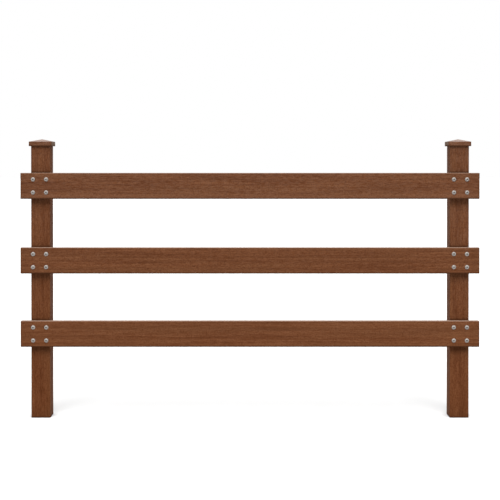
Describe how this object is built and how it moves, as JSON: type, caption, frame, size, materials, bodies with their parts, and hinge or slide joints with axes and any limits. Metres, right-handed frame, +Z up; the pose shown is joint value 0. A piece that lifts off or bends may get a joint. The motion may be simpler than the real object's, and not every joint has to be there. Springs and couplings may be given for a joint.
{
  "type": "post-and-rail fence panel",
  "caption": "Fixed timber post-and-rail fence panel: square posts with low pyramid caps and plain horizontal boards bolted across their front faces.",
  "frame": {"origin": "centre of the left post's foot, on the ground", "axes": "+X along the rails towards the right post, +Y away from the side that carries the rails, +Z up"},
  "size_m": [2.4, 0.142, 1.465],
  "materials": {
    "post_timber": "brown satin stain, upright grain",
    "cap_timber": "brown satin stain",
    "rail_timber": "brown satin stain, grain along the board",
    "bolt_steel": "dull stainless bolt heads, added in the visual model"
  },
  "bodies": {
    "root": {"left_post": "post_timber", "right_post": "post_timber", "left_post_cap": "cap_timber", "right_post_cap": "cap_timber", "top_rail": "rail_timber", "middle_rail": "rail_timber", "bottom_rail": "rail_timber"}
  },
  "joints": []
}
